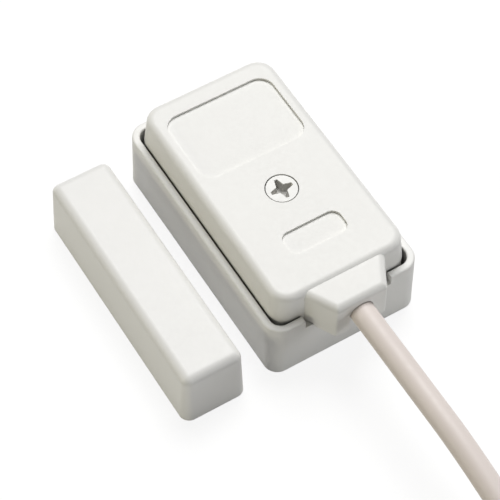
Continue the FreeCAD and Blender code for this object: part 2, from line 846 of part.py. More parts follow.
def make_piezo():
    body = new_body("piezo_pad")
    ring = new_sketch(body, "PadRing")
    circles(ring, size.piezo_width)
    circles(ring, size.piezo_pad_hole)
    pad(body, ring, size.piezo_pad_height)
    place(body, y=piezo_y, z=board_top)
    disc_base = board_top + size.piezo_pad_height
    disc_top = disc_base + size.piezo_thickness
    disc_node("piezo_disc", size.piezo_width, size.piezo_thickness, disc_base)
    disc_node("piezo_ceramic", size.ceramic_width, size.ceramic_thickness, disc_top)
    radius = value(size.piezo_wire) / 2
    wires = []
    for side, reach, top in (
        (1, size.ceramic_width / 2 - size.piezo_wire, disc_top + size.ceramic_thickness),
        (-1, size.piezo_width / 2 - size.piezo_wire, disc_top),
    ):
        y, z = value(piezo_y + reach * side), value(top)
        beyond = value(piezo_y + (size.piezo_width / 2 + size.piezo_wire * 4) * side)
        rise = z + radius * 5
        route = [(0, y, z), (0, y, rise), (0, beyond, rise), (0, beyond, value(board_top))]
        wires.append(tube(route, radius * 2))
    shape_node("piezo_wires", wires)


# Parts soldered under the board

def box_shape(length, width, height, x, y, z):
    """A block given by the middle of its top face."""
    block = Part.makeBox(length, width, height)
    block.translate(FreeCAD.Vector(x - length / 2, y - width / 2, z - height))
    return block


def make_chip(name, length, width, height, y, pitch, pairs):
    """A moulded package under the board, and its rows of bent pins as a node of their own."""
    body = keep(name, doc.addObject("Part::Box", name))
    bind(body, "Length", width)
    bind(body, "Width", length)
    bind(body, "Height", height)
    top = size.board_height - size.chip_lift
    place(body, -width / 2, y - length / 2, top - height)
    reach, thickness = value(size.pin_reach), value(size.pin_thickness)
    face, board, half = value(top - height / 2), value(size.board_height), value(width) / 2
    pins = []
    for side in (1, -1):
        for number in range(pairs):
            row = value(y) + (number - (pairs - 1) / 2) * value(pitch)
            corners = [
                (half, face), (half + reach / 2, face), (half + reach / 2, board),
                (half + reach, board), (half + reach, board - thickness),
                (half + reach / 2 + thickness, board - thickness),
                (half + reach / 2 + thickness, face - thickness), (half, face - thickness),
            ]
            points = [FreeCAD.Vector(x * side, row - value(size.pin_width) / 2, z) for x, z in corners]
            face_shape = Part.Face(Part.makePolygon(points + points[:1]))
            pins.append(face_shape.extrude(FreeCAD.Vector(0, value(size.pin_width), 0)))
    shape_node(f"{name}_pins", pins)


def make_small_parts():
    """Chip resistors in one row and chip capacitors in another, beside the packages."""
    length, width, height = (value(item) for item in (size.small_length, size.small_width, size.small_height))
    under, pitch, column = value(size.board_height), value(size.small_pitch), value(can_x)
    edge = value(size.small_edge - board_width / 2)
    rows = [value(chip_y) + pitch * n for n in range(-2, 3)]
    resistors = [box_shape(width, length, height, edge, y, under) for y in rows]
    places = [(column, value(relay_y) - pitch * n) for n in (1, 2)]
    places += [(-column, value(size.can_y) + pitch * n) for n in (-1, 0, 1)]
    capacitors = [box_shape(length, width, height * 1.5, x, y, under) for x, y in places]
    shape_node("chip_resistors", resistors)
    shape_node("chip_capacitors", capacitors)


def make_smoothing_capacitor():
    body = new_body("smoothing_capacitor")
    profile = new_sketch(body, "CanProfile", role="XZ_Plane")
    radius, neck = size.can_width / 2, size.can_width / 2 - size.pin_thickness
    crimp = size.can_height / 4
    outline(profile, [
        (0, 0),
        (radius, 0),
        (radius, -crimp),
        (neck, -crimp - size.pin_thickness),
        (radius, -crimp - size.pin_thickness * 2),
        (radius, -size.can_height),
        (0, -size.can_height),
    ])
    revolve(body, profile, "CanTurned")
    place(body, can_x, size.can_y, size.board_height)


# Tubes, for the lead, its cores and thin wires

def shape_node(name, shapes):
    """A node whose solids are made from routes and outlines that follow the sizes."""
    item = doc.addObject("Part::Feature", name)
    item.Shape = shapes[0] if len(shapes) == 1 else Part.makeCompound(shapes)
    return keep(name, item)


def rounded_path(points, report=None):
    """Straight runs joined by tangent arcs, each as large as its two runs allow."""
    points = [FreeCAD.Vector(*point) for point in points]
    edges, last, radii = [], points[0], []
    for before, corner, after in zip(points, points[1:], points[2:]):
        back, on = before - corner, after - corner
        half_turn = (math.pi - back.getAngle(on)) / 2
        cut = 0.45 * min(back.Length, on.Length)
        radii.append(cut / math.tan(half_turn))
        start = corner + back.normalize() * cut
        end = corner + on.normalize() * cut
        bisector = (back + on).normalize()
        middle = corner + bisector * (radii[-1] / math.cos(half_turn) - radii[-1])
        edges.append(Part.LineSegment(last, start).toShape())
        edges.append(Part.Arc(start, middle, end).toShape())
        last = end
    edges.append(Part.LineSegment(last, points[-1]).toShape())
    if report:
        print(report, "radii", " ".join(f"{radius:.1f}" for radius in radii))
    return Part.Wire(edges)


def tube(points, diameter, report=None):
    """A round solid along a route. Its volume has to be its section times its length."""
    path = rounded_path(points, report)
    start = path.Edges[0]
    circle = Part.Circle(start.Vertexes[0].Point, start.tangentAt(start.FirstParameter), diameter / 2)
    solid = path.makePipeShell([Part.Wire(circle.toShape())], True, False)
    expected = math.pi * diameter**2 / 4 * path.Length
    if abs(solid.Volume / expected - 1) > 0.005:
        raise RuntimeError(f"a tube holds {solid.Volume:.2f} instead of {expected:.2f}")
    if report:
        print(report, "length", f"{path.Length:.1f}")
    return solid


# Lead: the stretch that isn't coiled

lead_z = value(size.lead_height)
floor_z = value(lead_radius)
coil_turn_radius = (size.coil_middle + size.lead_width * (size.coil_columns - 1)) / 2
coil_side = value(size.coil_x + coil_turn_radius)
LEAD_ROUTE = [
    (0.0, -value(size.lead_start), lead_z),
    (0.0, -value(size.lead_bend), lead_z),
    (coil_side, -value(size.lead_landing), floor_z),
    (coil_side, value(size.coil_y + size.coil_lead_in), floor_z),
]


def make_lead():
    shape_node("cable_jacket", [tube(LEAD_ROUTE, value(size.lead_width), report="lead")])
    body = new_body("cable_collar")
    ring = new_sketch(body, "CollarRing", y=size.lead_height, role="XZ_Plane")
    circles(ring, size.collar_width)
    circles(ring, size.lead_width)
    pad(body, ring, size.collar_length)
    place(body, y=collar_front + size.collar_length)


def core_offset(number):
    """Where a core sits in the lead's section, counted from its left side."""
    angle = math.radians((150, 210, 90, 270, 330, 30)[number])
    radius = value(size.core_circle)
    return radius * math.cos(angle), radius * math.sin(angle)


def make_cores():
    """Each core shows twice: from the lead's inner end to its pad, and at the lead's bare end."""
    width, start = value(size.core_width), -value(size.lead_start)
    row, deck = value(size.core_pad_y), value(board_top)
    for number, colour in enumerate(CORE_NAMES):
        x, z = core_offset(number)
        pad_x = (number - 2.5) * value(size.core_pad_pitch)
        level = deck + width * 1.6
        inner = tube(
            [
                (x, start, lead_z + z),
                (x, start + 1.8, lead_z + z),
                (pad_x, row - 2.4, level),
                (pad_x, row, level),
                (pad_x, row, deck),
            ],
            width,
        )
        shape_node(f"core_{colour}", [inner, core_end(number)])


# Coil of spare lead, with its tie

def coil_point(radius, angle, z):
    """A point on a circle about the coil's axis, with the angle counted clockwise from +X."""
    turn = -math.radians(angle)
    x, y = value(size.coil_x), value(size.coil_y)
    return FreeCAD.Vector(x + radius * math.cos(turn), y + radius * math.sin(turn), z)


coil_half = value(size.coil_columns) * value(size.lead_width) / 2
coil_outer = value(size.coil_middle) / 2 + coil_half
coil_inner = value(size.coil_middle) / 2 - coil_half
coil_top = value(size.coil_layers) * value(size.lead_width)
shelf = coil_top - value(size.lead_width)


def coil_ring(inner, outer, low, high, rounding):
    """A flat ring about the coil's axis with all its edges rounded."""
    axis = FreeCAD.Vector(value(size.coil_x), value(size.coil_y), low)
    ring = Part.makeCylinder(outer, high - low, axis).cut(Part.makeCylinder(inner, high - low, axis))
    return ring.makeFillet(rounding, [edge for edge in ring.Edges if edge.BoundBox.ZLength < 1e-6])


def make_coil():
    lead, rounding = value(size.lead_width), value(size.coil_rounding)
    thickness = value(size.tie_thickness)
    axis = FreeCAD.Vector(value(size.coil_x), value(size.coil_y), shelf)
    up = FreeCAD.Vector(0, 0, 1)
    ring = coil_ring(coil_inner, coil_outer, 0, coil_top, rounding)
    angle = value(size.coil_open_angle)
    step = Part.makeCylinder(coil_outer + lead, lead, axis, up, angle).cut(
        Part.makeCylinder(coil_outer - lead, lead, axis, up, angle)
    )
    lead_in = Part.makeCylinder(
        lead / 2,
        value(size.coil_lead_in),
        FreeCAD.Vector(coil_side, value(size.coil_y), floor_z),
        FreeCAD.Vector(0, 1, 0),
    )
    # The tie is a flat band round the coil's section, at its side away from the magnet's line
    strap = Part.makeBox(coil_outer * 2, value(size.tie_width), coil_top * 2)
    strap.translate(axis + FreeCAD.Vector(-coil_outer * 2, -value(size.tie_width) / 2, -coil_top))
    shell = coil_ring(coil_inner - thickness, coil_outer + thickness, 0, coil_top + thickness, rounding)
    band = shell.cut(coil_ring(coil_inner, coil_outer, thickness, coil_top, rounding)).common(strap)
    shape_node("coil_tie", [band])
    shape_node("cable_coil", [ring.cut(step).fuse(lead_in).cut(band)])


def core_end(number):
    """A core's bare end, fanned out on the shelf where the coil's last turn stops."""
    width = value(size.core_width)
    across, up = core_offset(number)
    radius = coil_outer - value(size.lead_width) / 2
    start_angle = -value(size.coil_open_angle)
    onward = coil_point(1, start_angle + 90, 0) - coil_point(0, 0, 0)
    column, row = number // 2 - 1, int(up > 0)
    step = math.degrees(value(size.core_end_length) / radius / 3)
    middle = shelf + value(size.lead_width) / 2
    spread, level = column * width * 1.3, shelf + width * (0.6 + 1.15 * row)
    start = coil_point(radius + across, start_angle, middle + up)
    return tube(
        [
            start,
            start + onward * (width * 2),
            coil_point(radius + spread, start_angle + step, level),
            coil_point(radius + spread, start_angle + step * 2, level),
            coil_point(radius + spread, start_angle + step * 3, level),
        ],
        width,
    )


# Magnet: housing, base plate and the bar itself

plate_width = size.magnet_width - size.magnet_wall * 2 - size.magnet_plate_gap * 2
plate_length = size.magnet_length - size.magnet_wall * 2 - size.magnet_plate_gap * 2


def make_magnet_cap():
    body = new_body("magnet_cap")
    outside = new_sketch(body, "MagnetOutline")
    rounded_rectangle(outside, size.magnet_width, size.magnet_length, size.magnet_corner)
    pad(body, outside, size.magnet_height, draft=-size.magnet_draft)
    fillet(body, "MagnetRounding", size.magnet_rounding, lambda edge: flat_at(edge, size.magnet_height))
    cavity = new_sketch(body, "MagnetCavity")
    inner = (size.magnet_width - size.magnet_wall * 2, size.magnet_length - size.magnet_wall * 2)
    rounded_rectangle(cavity, *inner, size.magnet_corner - size.magnet_wall)
    pocket(body, cavity, size.magnet_height - size.magnet_roof, draft=-size.magnet_draft, upward=True)
    windows = new_sketch(body, "CatchWindows", z=catch_low - size.catch_gap)
    for side in (1, -1):
        catch_outline(windows, side, size.catch_gap)
    pocket(body, windows, size.catch_height + size.catch_gap * 2, upward=True)
    place(body, magnet_x, size.magnet_y)


catch_low = size.magnet_plate / 2 - size.catch_height / 2


def catch_outline(sketch, side, gap):
    """Two catches on one long side of the magnet's plate, or the windows that they snap into."""
    for end in (1, -1):
        middle = size.catch_place * end
        half = size.catch_length / 2 + gap
        root = (plate_width / 2 - size.magnet_wall) * side
        tip = (plate_width / 2 + size.catch_reach + gap) * side
        outline(sketch, [
            (root, middle - half),
            (tip, middle - half),
            (tip, middle + half),
            (root, middle + half),
        ])


def make_magnet_base():
    body = new_body("magnet_base")
    outside = new_sketch(body, "MagnetPlate")
    rounded_rectangle(outside, plate_width, plate_length, size.magnet_corner - size.magnet_wall)
    pad(body, outside, size.magnet_plate)
    catches = new_sketch(body, "Catches", z=catch_low)
    for side in (1, -1):
        catch_outline(catches, side, 0)
    pad(body, catches, size.catch_height)
    make_bar_stops(body)
    fixing = new_sketch(body, "MagnetHoles", z=size.magnet_plate)
    hole_y = plate_length / 2 - size.magnet_hole_inset
    spots = [(0, -hole_y), (0, hole_y)]
    circles(fixing, size.fixing_hole, *spots)
    holes(body, fixing, size.fixing_hole, size.fixing_countersink, "MagnetHole")
    place(body, magnet_x, size.magnet_y)


def make_bar_stops(body):
    """Two end stops that the bar lies between."""
    stops = new_sketch(body, "BarStops", z=size.magnet_plate)
    half, inner = size.bar_width / 2, size.bar_length / 2 + size.bar_gap
    outer = inner + size.stop_wall
    for end in (1, -1):
        outline(stops, [
            (-half, inner * end),
            (half, inner * end),
            (half, outer * end),
            (-half, outer * end),
        ])
    pad(body, stops, size.stop_height)


def make_magnet_bar():
    bar = keep("magnet_bar", doc.addObject("Part::Box", "MagnetBar"))
    bind(bar, "Length", size.bar_width)
    bind(bar, "Width", size.bar_length)
    bind(bar, "Height", size.bar_height)
    place(bar, magnet_x - size.bar_width / 2, size.magnet_y - size.bar_length / 2, size.magnet_plate)


make_mounting_base()
make_sensor_cap()
make_cover_screw()
make_threaded_insert()
make_circuit_board()
make_board_screws()
make_reed("contact_reed", -reed_x, reed_y, board_top, 1)
make_reed("tamper_reed", reed_x, reed_y, size.board_height, -1)
make_tamper_magnet()
make_piezo()
make_chip("processor", size.chip_length, size.chip_width, size.chip_height, chip_y, size.pin_pitch, 4)
make_chip(
    "output_relay", size.relay_length, size.relay_width, size.relay_height, relay_y, size.relay_pitch, 3
)
make_small_parts()
make_smoothing_capacitor()
make_lead()
make_cores()
make_coil()
make_magnet_cap()
make_magnet_base()
make_magnet_bar()

doc.recompute()
for item in doc.Objects:
    if "Invalid" in item.State or "Error" in item.State:
        raise RuntimeError(f"{item.Label} is not up to date: {item.State}")
for name, item in nodes.items():
    if item.Shape.isNull() or not item.Shape.isValid():
        raise RuntimeError(f"{name} has no valid shape")
for name, item in nodes.items():
    item.Shape.exportStep(f"parts/{name}.step")
print(len(nodes), "nodes")
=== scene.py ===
import math

import bmesh
import bpy
from mathutils import Matrix, Vector


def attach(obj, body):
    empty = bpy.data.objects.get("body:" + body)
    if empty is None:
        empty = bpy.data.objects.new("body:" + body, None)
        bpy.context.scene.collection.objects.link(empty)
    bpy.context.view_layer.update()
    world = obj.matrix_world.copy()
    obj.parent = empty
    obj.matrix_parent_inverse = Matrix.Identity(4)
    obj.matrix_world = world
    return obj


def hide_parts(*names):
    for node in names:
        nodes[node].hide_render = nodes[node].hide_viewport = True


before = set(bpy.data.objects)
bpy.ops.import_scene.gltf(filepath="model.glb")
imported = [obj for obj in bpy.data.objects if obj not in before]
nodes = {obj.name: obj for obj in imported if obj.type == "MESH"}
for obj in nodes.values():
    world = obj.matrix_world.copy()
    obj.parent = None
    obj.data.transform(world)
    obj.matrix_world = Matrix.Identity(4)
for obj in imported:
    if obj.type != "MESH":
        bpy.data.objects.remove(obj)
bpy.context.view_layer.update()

MM = 0.001
scene = bpy.context.scene


# Camera, solved from the photograph's straight edges. Its offset is in millimetres, its angles in radians.

IMAGE_PIXELS = 500
SENSOR_MM = 36.0
FOCAL_PIXELS = 2047.375
TILT, ROLL, PAN = 2.5543365, 0.0117043, 0.5467111
OFFSET = Vector((3.492104, -2.569555, 368.782441))


def make_camera():
    turn = Matrix.Rotation(TILT, 3, "X") @ Matrix.Rotation(ROLL, 3, "Y") @ Matrix.Rotation(PAN, 3, "Z")
    data = bpy.data.cameras.new("camera")
    data.sensor_width = SENSOR_MM
    data.lens = FOCAL_PIXELS * SENSOR_MM / IMAGE_PIXELS
    data.clip_start, data.clip_end = 0.01, 20.0
    camera = bpy.data.objects.new("camera", data)
    scene.collection.objects.link(camera)
    axes = Matrix((turn[0], -turn[1], -turn[2])).transposed()
    camera.matrix_world = Matrix.Translation(turn.transposed() @ -OFFSET * MM) @ axes.to_4x4()
    scene.camera = camera


# Node helpers

def new_material(name):
    material = bpy.data.materials.new(name)
    material.use_nodes = True
    tree = material.node_tree
    tree.nodes.clear()
    return material, tree


def add(tree, kind, **inputs):
    """Adds a node. A keyword sets or links an input, by name with _ for a space, or as i0, i1 by number."""
    node = tree.nodes.new(kind)
    for key, item in inputs.items():
        numbered = key[0] == "i" and key[1:].isdigit()
        socket = node.inputs[int(key[1:]) if numbered else key.replace("_", " ")]
        if isinstance(item, bpy.types.NodeSocket):
            tree.links.new(item, socket)
        else:
            socket.default_value = item
    return node


def ramp(tree, fac, stops):
    """A colour ramp with (place, colour) stops."""
    node = tree.nodes.new("ShaderNodeValToRGB")
    tree.links.new(fac, node.inputs[0])
    elements = node.color_ramp.elements
    while len(elements) < len(stops):
        elements.new(0.5)
    for element, (place, colour) in zip(elements, stops):
        element.position = place
        element.color = (*colour, 1.0) if len(colour) == 3 else colour
    return node.outputs[0]


def noise(tree, scale, detail=3.0, roughness=0.55):
    """Noise that stays with the object. The scale is in cycles per millimetre."""
    place = tree.nodes.new("ShaderNodeTexCoord").outputs["Object"]
    node = add(
        tree,
        "ShaderNodeTexNoise",
        Vector=place,
        Scale=scale / MM,
        Detail=detail,
        Roughness=roughness,
    )
    return node.outputs["Fac"]


def fit(tree, value, low, high):
    """Spreads a noise over a range of values."""
    node = add(tree, "ShaderNodeMapRange", Value=value)
    node.inputs["From Min"].default_value = 0.3
    node.inputs["From Max"].default_value = 0.7
    node.inputs["To Min"].default_value = low
    node.inputs["To Max"].default_value = high
    return node.outputs["Result"]


def bump(tree, height, strength, distance, normal=None):
    node = add(tree, "ShaderNodeBump", Height=height, Strength=strength, Distance=distance * MM)
    if normal:
        tree.links.new(normal, node.inputs["Normal"])
    return node.outputs["Normal"]


def shade(colour, factor):
    return tuple(min(1.0, channel * factor) for channel in colour)


def mix_colours(tree, share, first, second):
    """Goes from the first colour to the second. Either may be a socket or a plain colour."""
    mixed = tree.nodes.new("ShaderNodeMix")
    mixed.data_type = "RGBA"
    tree.links.new(share, mixed.inputs["Factor"])
    for name, colour in (("A", first), ("B", second)):
        if isinstance(colour, bpy.types.NodeSocket):
            tree.links.new(colour, mixed.inputs[name])
        else:
            mixed.inputs[name].default_value = (*colour, 1)
    return mixed.outputs["Result"]


def below(tree, tint, colour, start, end):
    """Turns a colour into another between two heights, counted in millimetres."""
    place = tree.nodes.new("ShaderNodeTexCoord").outputs["Object"]
    height = add(tree, "ShaderNodeSeparateXYZ", Vector=place).outputs["Z"]
    share = add(tree, "ShaderNodeMapRange", Value=height)
    share.inputs["From Min"].default_value = start * MM
    share.inputs["From Max"].default_value = end * MM
    return mix_colours(tree, share.outputs["Result"], tint, colour)


# Painted shade deep in narrow gaps: how near, in millimetres, a wall closes a surface in, and the open
# share from which it keeps its colour
GAP_REACH, GAP_OPEN = 1.2, 0.62


def painted_gap_shade(tree, tint, darkest):
    """Darkens a colour where the surface lies deep in a narrow gap, as painted shade."""
    open_share = add(tree, "ShaderNodeAmbientOcclusion", Distance=GAP_REACH * MM).outputs["AO"]
    share = add(tree, "ShaderNodeMapRange", Value=open_share)
    share.inputs["From Max"].default_value = GAP_OPEN
    share.inputs["To Min"].default_value = darkest
    return mix_colours(tree, share.outputs["Result"], (0, 0, 0), tint)


def cover(material, tree, shader):
    """Sends a shader to the material's surface."""
    output = tree.nodes.new("ShaderNodeOutputMaterial")
    tree.links.new(shader.outputs[0], output.inputs["Surface"])
    return material


def plastic(
    name, colour, rough=(0.32, 0.42), grain=2.2, depth=0.012, mottle=0.02, sss=0.0, deep=None, gap_shade=None
):
    """Moulded plastic: a faint mottle, a spark-eroded grain and slow waves of the mould's polish.

    deep is the colour low in a recess, partly the thing's own colour and partly painted shade, with the
    heights where it begins and where it is full.
    The gap argument is the share of the colour that is left deep in a gap, where shade is painted into the
    colour.
    """
    material, tree = new_material(name)
    slow = noise(tree, 0.05, detail=2.0)
    fine = noise(tree, grain, detail=4.0, roughness=0.6)
    low, high = shade(colour, 1 - mottle), shade(colour, 1 + mottle)
    tint = ramp(tree, slow, [(0.3, low), (0.7, high)])
    # Partly painted shade: the colour turns darker low in a recess.
    if deep:
        tint = below(tree, tint, *deep)
    # Painted shade: the colour darkens deep in narrow gaps.
    if gap_shade is not None:
        tint = painted_gap_shade(tree, tint, gap_shade)
    relief = bump(tree, fine, 0.35, depth)
    relief = bump(tree, slow, 0.10, 0.05, relief)
    shader = add(
        tree,
        "ShaderNodeBsdfPrincipled",
        Base_Color=tint,
        Roughness=fit(tree, fine, *rough),
        Normal=relief,
        IOR=1.5,
    )
    if sss:
        shader.inputs["Subsurface Weight"].default_value = sss
        shader.inputs["Subsurface Radius"].default_value = (0.6 * MM, 0.5 * MM, 0.4 * MM)
        shader.inputs["Subsurface Scale"].default_value = 1.0
    return cover(material, tree, shader)


def metal(name, colour, rough=(0.22, 0.38), grain=3.0, depth=0.01, stretch=None):
    """Metal with fine scratches, drawn along one axis where stretch names it."""
    material, tree = new_material(name)
    place = tree.nodes.new("ShaderNodeTexCoord").outputs["Object"]
    scale = [1.0, 1.0, 1.0]
    if stretch is not None:
        scale[stretch] = 0.05
    mapped = add(tree, "ShaderNodeMapping", Vector=place, Scale=scale).outputs[0]
    grit = add(tree, "ShaderNodeTexNoise", Vector=mapped, Scale=grain / MM, Detail=5.0).outputs["Fac"]
    tint = ramp(tree, grit, [(0.25, shade(colour, 0.86)), (0.75, shade(colour, 1.05))])
    shader = add(
        tree,
        "ShaderNodeBsdfPrincipled",
        Base_Color=tint,
        Metallic=1.0,
        Roughness=fit(tree, grit, *rough),
        Normal=bump(tree, grit, 0.3, depth),
    )
    return cover(material, tree, shader)


def circuit(name, colour, copper):
    """Solder mask over copper tracks, which show as paler bands."""
    material, tree = new_material(name)
    place = tree.nodes.new("ShaderNodeTexCoord").outputs["Object"]
    cells = add(tree, "ShaderNodeTexBrick", Vector=place, Scale=0.35 / MM)
    cells.offset, cells.squash = 0.37, 0.6
    cells.inputs["Color1"].default_value = (*colour, 1)
    cells.inputs["Color2"].default_value = (*shade(colour, 0.8), 1)
    cells.inputs["Mortar"].default_value = (*copper, 1)
    cells.inputs["Mortar Size"].default_value = 0.06
    weave = noise(tree, 1.4)
    shader = add(
        tree,
        "ShaderNodeBsdfPrincipled",
        Base_Color=cells.outputs["Color"],
        Roughness=fit(tree, weave, 0.22, 0.34),
        Normal=bump(tree, cells.outputs["Fac"], 0.2, 0.03, bump(tree, weave, 0.2, 0.01)),
    )
    return cover(material, tree, shader)


def glass(name, colour):
    material, tree = new_material(name)
    waves = noise(tree, 0.4)
    shader = add(
        tree,
        "ShaderNodeBsdfPrincipled",
        Base_Color=ramp(tree, waves, [(0.3, shade(colour, 0.95)), (0.7, colour)]),
        Roughness=fit(tree, waves, 0.02, 0.08),
        IOR=1.5,
        Transmission_Weight=0.9,
        Normal=bump(tree, waves, 0.2, 0.02),
    )
    return cover(material, tree, shader)


def dress(material, *names):
    """Gives CAD nodes their material."""
    for name in names:
        slots = nodes[name].data.materials
        slots.clear()
        slots.append(material)


# Materials, with their colours in linear light

CAP_WHITE = (0.896, 0.888, 0.855)
TRAY_WHITE = (0.885, 0.878, 0.85)
MAGNET_WHITE = (0.885, 0.878, 0.855)
JACKET = (0.86, 0.775, 0.725)
# Colour deep in the cover screw's cross and round its head's side, partly the unpainted cross and partly
# painted shade, and the heights in millimetres where it begins and is full
SCREW_CROSS_BARE_AND_SHADE = ((0.66, 0.65, 0.62), 18.66, 18.42)
CORE_COLOURS = {
    "red": (0.50, 0.02, 0.015),
    "black": (0.012, 0.012, 0.012),
    "white": (0.80, 0.79, 0.76),
    "green": (0.02, 0.19, 0.05),
    "yellow": (0.83, 0.56, 0.03),
    "blue": (0.015, 0.07, 0.36),
}
# The cap's colour has painted shade deep in its narrow gaps.
dress(plastic("housing_abs", CAP_WHITE, rough=(0.36, 0.48), mottle=0.012, gap_shade=0.28), "sensor_cap")
magnet_plastic = plastic("magnet_abs", MAGNET_WHITE, rough=(0.36, 0.48), mottle=0.012)
dress(magnet_plastic, "magnet_cap", "magnet_base")
# The tray's colour has painted shade deep in its narrow gaps.
dress(plastic("tray_abs", TRAY_WHITE, rough=(0.38, 0.5), mottle=0.012, gap_shade=0.28), "mounting_base")
# The screw's cross takes a darker colour, partly the unpainted cross and partly painted shade.
screw_paint = plastic(
    "screw_paint",
    (0.88, 0.872, 0.84),
    rough=(0.28, 0.4),
    grain=1.2,
    depth=0.02,
    deep=SCREW_CROSS_BARE_AND_SHADE,
)
dress(screw_paint, "cover_screw")
dress(metal("insert_brass", (0.83, 0.62, 0.27), stretch=2), "threaded_insert", "piezo_disc")
dress(circuit("solder_mask", (0.02, 0.16, 0.06), (0.06, 0.30, 0.12)), "circuit_board")
dress(metal("screw_steel", (0.63, 0.63, 0.64)), "board_screws")
dress(glass("reed_glass", (0.80, 0.93, 0.85)), "contact_reed_capsule", "tamper_reed_capsule")
dress(metal("reed_blade", (0.70, 0.68, 0.63), stretch=1), "contact_reed_blades", "tamper_reed_blades")
dress(metal("nickel", (0.76, 0.75, 0.72), rough=(0.1, 0.2)), "tamper_magnet")
dress(plastic("ferrite", (0.035, 0.035, 0.038), rough=(0.55, 0.75), grain=3.0, depth=0.03), "magnet_bar")
dress(plastic("foam", (0.02, 0.02, 0.02), rough=(0.8, 0.95), grain=4.0, depth=0.1), "piezo_pad")
dress(metal("piezo_silver", (0.82, 0.80, 0.74), rough=(0.35, 0.55), grain=6.0), "piezo_ceramic")
dress(plastic("thin_wire", (0.55, 0.03, 0.02), rough=(0.3, 0.4)), "piezo_wires")
chip_epoxy = plastic("chip_epoxy", (0.012, 0.012, 0.013), rough=(0.5, 0.65), grain=4.0)
dress(chip_epoxy, "processor", "chip_resistors")
dress(plastic("relay_epoxy", (0.72, 0.72, 0.69), rough=(0.35, 0.5)), "output_relay")
dress(metal("tinned_pins", (0.74, 0.74, 0.73)), "processor_pins", "output_relay_pins")
dress(plastic("capacitor_tan", (0.36, 0.24, 0.13), rough=(0.45, 0.6)), "chip_capacitors")
dress(metal("can_aluminium", (0.80, 0.80, 0.81), stretch=2), "smoothing_capacitor")
nylon = plastic("nylon", (0.79, 0.775, 0.74), rough=(0.38, 0.5), sss=0.1)
copper = metal("bare_copper", (0.72, 0.52, 0.40), rough=(0.25, 0.4), grain=6.0)
dress(nylon, "cable_collar", "coil_tie")
for colour_name, core_colour in CORE_COLOURS.items():
    core = plastic(f"core_pvc_{colour_name}", core_colour, rough=(0.28, 0.38), grain=0.9)
    dress(core, f"core_{colour_name}")
jacket = plastic("jacket_pvc", JACKET, rough=(0.42, 0.55), grain=1.1, depth=0.02, mottle=0.02)


# Lead: the free stretch, then the coil of spare length, as one spline. Lengths are in millimetres.

LEAD = 4.4
ROUTE = [
    (0.0, -18.6, 14.4),
    (0.0, -45.0, 14.4),
    (0.0, -63.5, 14.4),
    (0.8, -106.0, 2.2),
]
COIL_AT = (-30.8, -146.0)
COIL_MIDDLE = 50.0
COLUMNS = 4
PER_TURN = 16
OPEN_ANGLE = 75.0
OUTER = COIL_MIDDLE / 2 + (COLUMNS - 1) / 2 * LEAD
TOP = 2.5 * LEAD
# Degrees of the stripped cores' beginning that the jacket covers
END_COVER = 0.4
# Each turn's column from the inside, its layer, and the steps past (or before) +X where the lead leaves it
TURNS = [
    (3, 0, -2), (2, 0, -2), (1, 0, -2), (0, 0, -3), (0, 1, -3), (0, 2, -4),
    (1, 2, -4), (2, 2, -4), (1, 1, -2), (2, 1, 1), (3, 1, 0), (3, 2, 0),
]


def coil_place(radius, angle, height):
    """A point about the coil's axis, with the angle in degrees from +X towards +Y."""
    turn = math.radians(angle)
    return (COIL_AT[0] + radius * math.cos(turn), COIL_AT[1] + radius * math.sin(turn), height)


def make_lead():
    """Lays the turns one into the next, clockwise, up to the bare end on the topmost one.

    The spline runs inside its control points, so in the coil they lie a little outward of the turns.
    """
    points = list(ROUTE)
    outward = 1 / math.cos(math.pi / PER_TURN) ** 0.5
    leaving = [PER_TURN * (number + 1) + late for number, (_, _, late) in enumerate(TURNS)]
    last = len(TURNS) * PER_TURN - round(OPEN_ANGLE / 360 * PER_TURN)
    turn = 0
    for step in range(last):
        if step >= leaving[turn]:
            turn += 1
        column, layer, _ = TURNS[turn]
        radius = COIL_MIDDLE / 2 + (column - (COLUMNS - 1) / 2) * LEAD
        points.append(coil_place(radius * outward, -360 * (step + 0.5) / PER_TURN, (layer + 0.5) * LEAD))
    points.append(coil_place(OUTER, OPEN_ANGLE - END_COVER, TOP))
    data = bpy.data.curves.new("lead", "CURVE")
    data.dimensions = "3D"
    data.bevel_depth = LEAD / 2 * MM
    data.bevel_resolution = 8
    data.resolution_u = 8
    data.use_fill_caps = True
    spline = data.splines.new("NURBS")
    spline.points.add(len(points) - 1)
    for point, place in zip(spline.points, points):
        point.co = (*(Vector(place) * MM), 1.0)
    spline.order_u = 3
    spline.use_endpoint_u = True
    lead = bpy.data.objects.new("lead", data)
    scene.collection.objects.link(lead)
    data.materials.append(jacket)
    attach(lead, "root")
    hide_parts("cable_jacket", "cable_coil")


# Small pieces that only the scene has

def add_piece(name, mesh, material):
    """Adds a piece drawn in millimetres, on the fixed body, with its material."""
    data = bpy.data.meshes.new(name)
    bmesh.ops.scale(mesh, vec=(MM, MM, MM), verts=mesh.verts)
    mesh.to_mesh(data)
    mesh.free()
    data.materials.append(material)
    piece = bpy.data.objects.new(name, data)
    scene.collection.objects.link(piece)
    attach(piece, "root")


# Bare copper at the ends of the cores, which fan out in three columns and two rows

CORE = 1.0
CORE_LENGTH = 26.0
CORE_STRETCHES = 3
COLUMN_PITCH = CORE * 1.3
LOWER_ROW, UPPER_ROW = CORE * 0.6, CORE * 1.75
UPPER_CORES = (0, 2, 5)
TIP_LENGTH, TIP_WIDTH = 3.5, 0.62
TIP_OVERLAP = 0.4


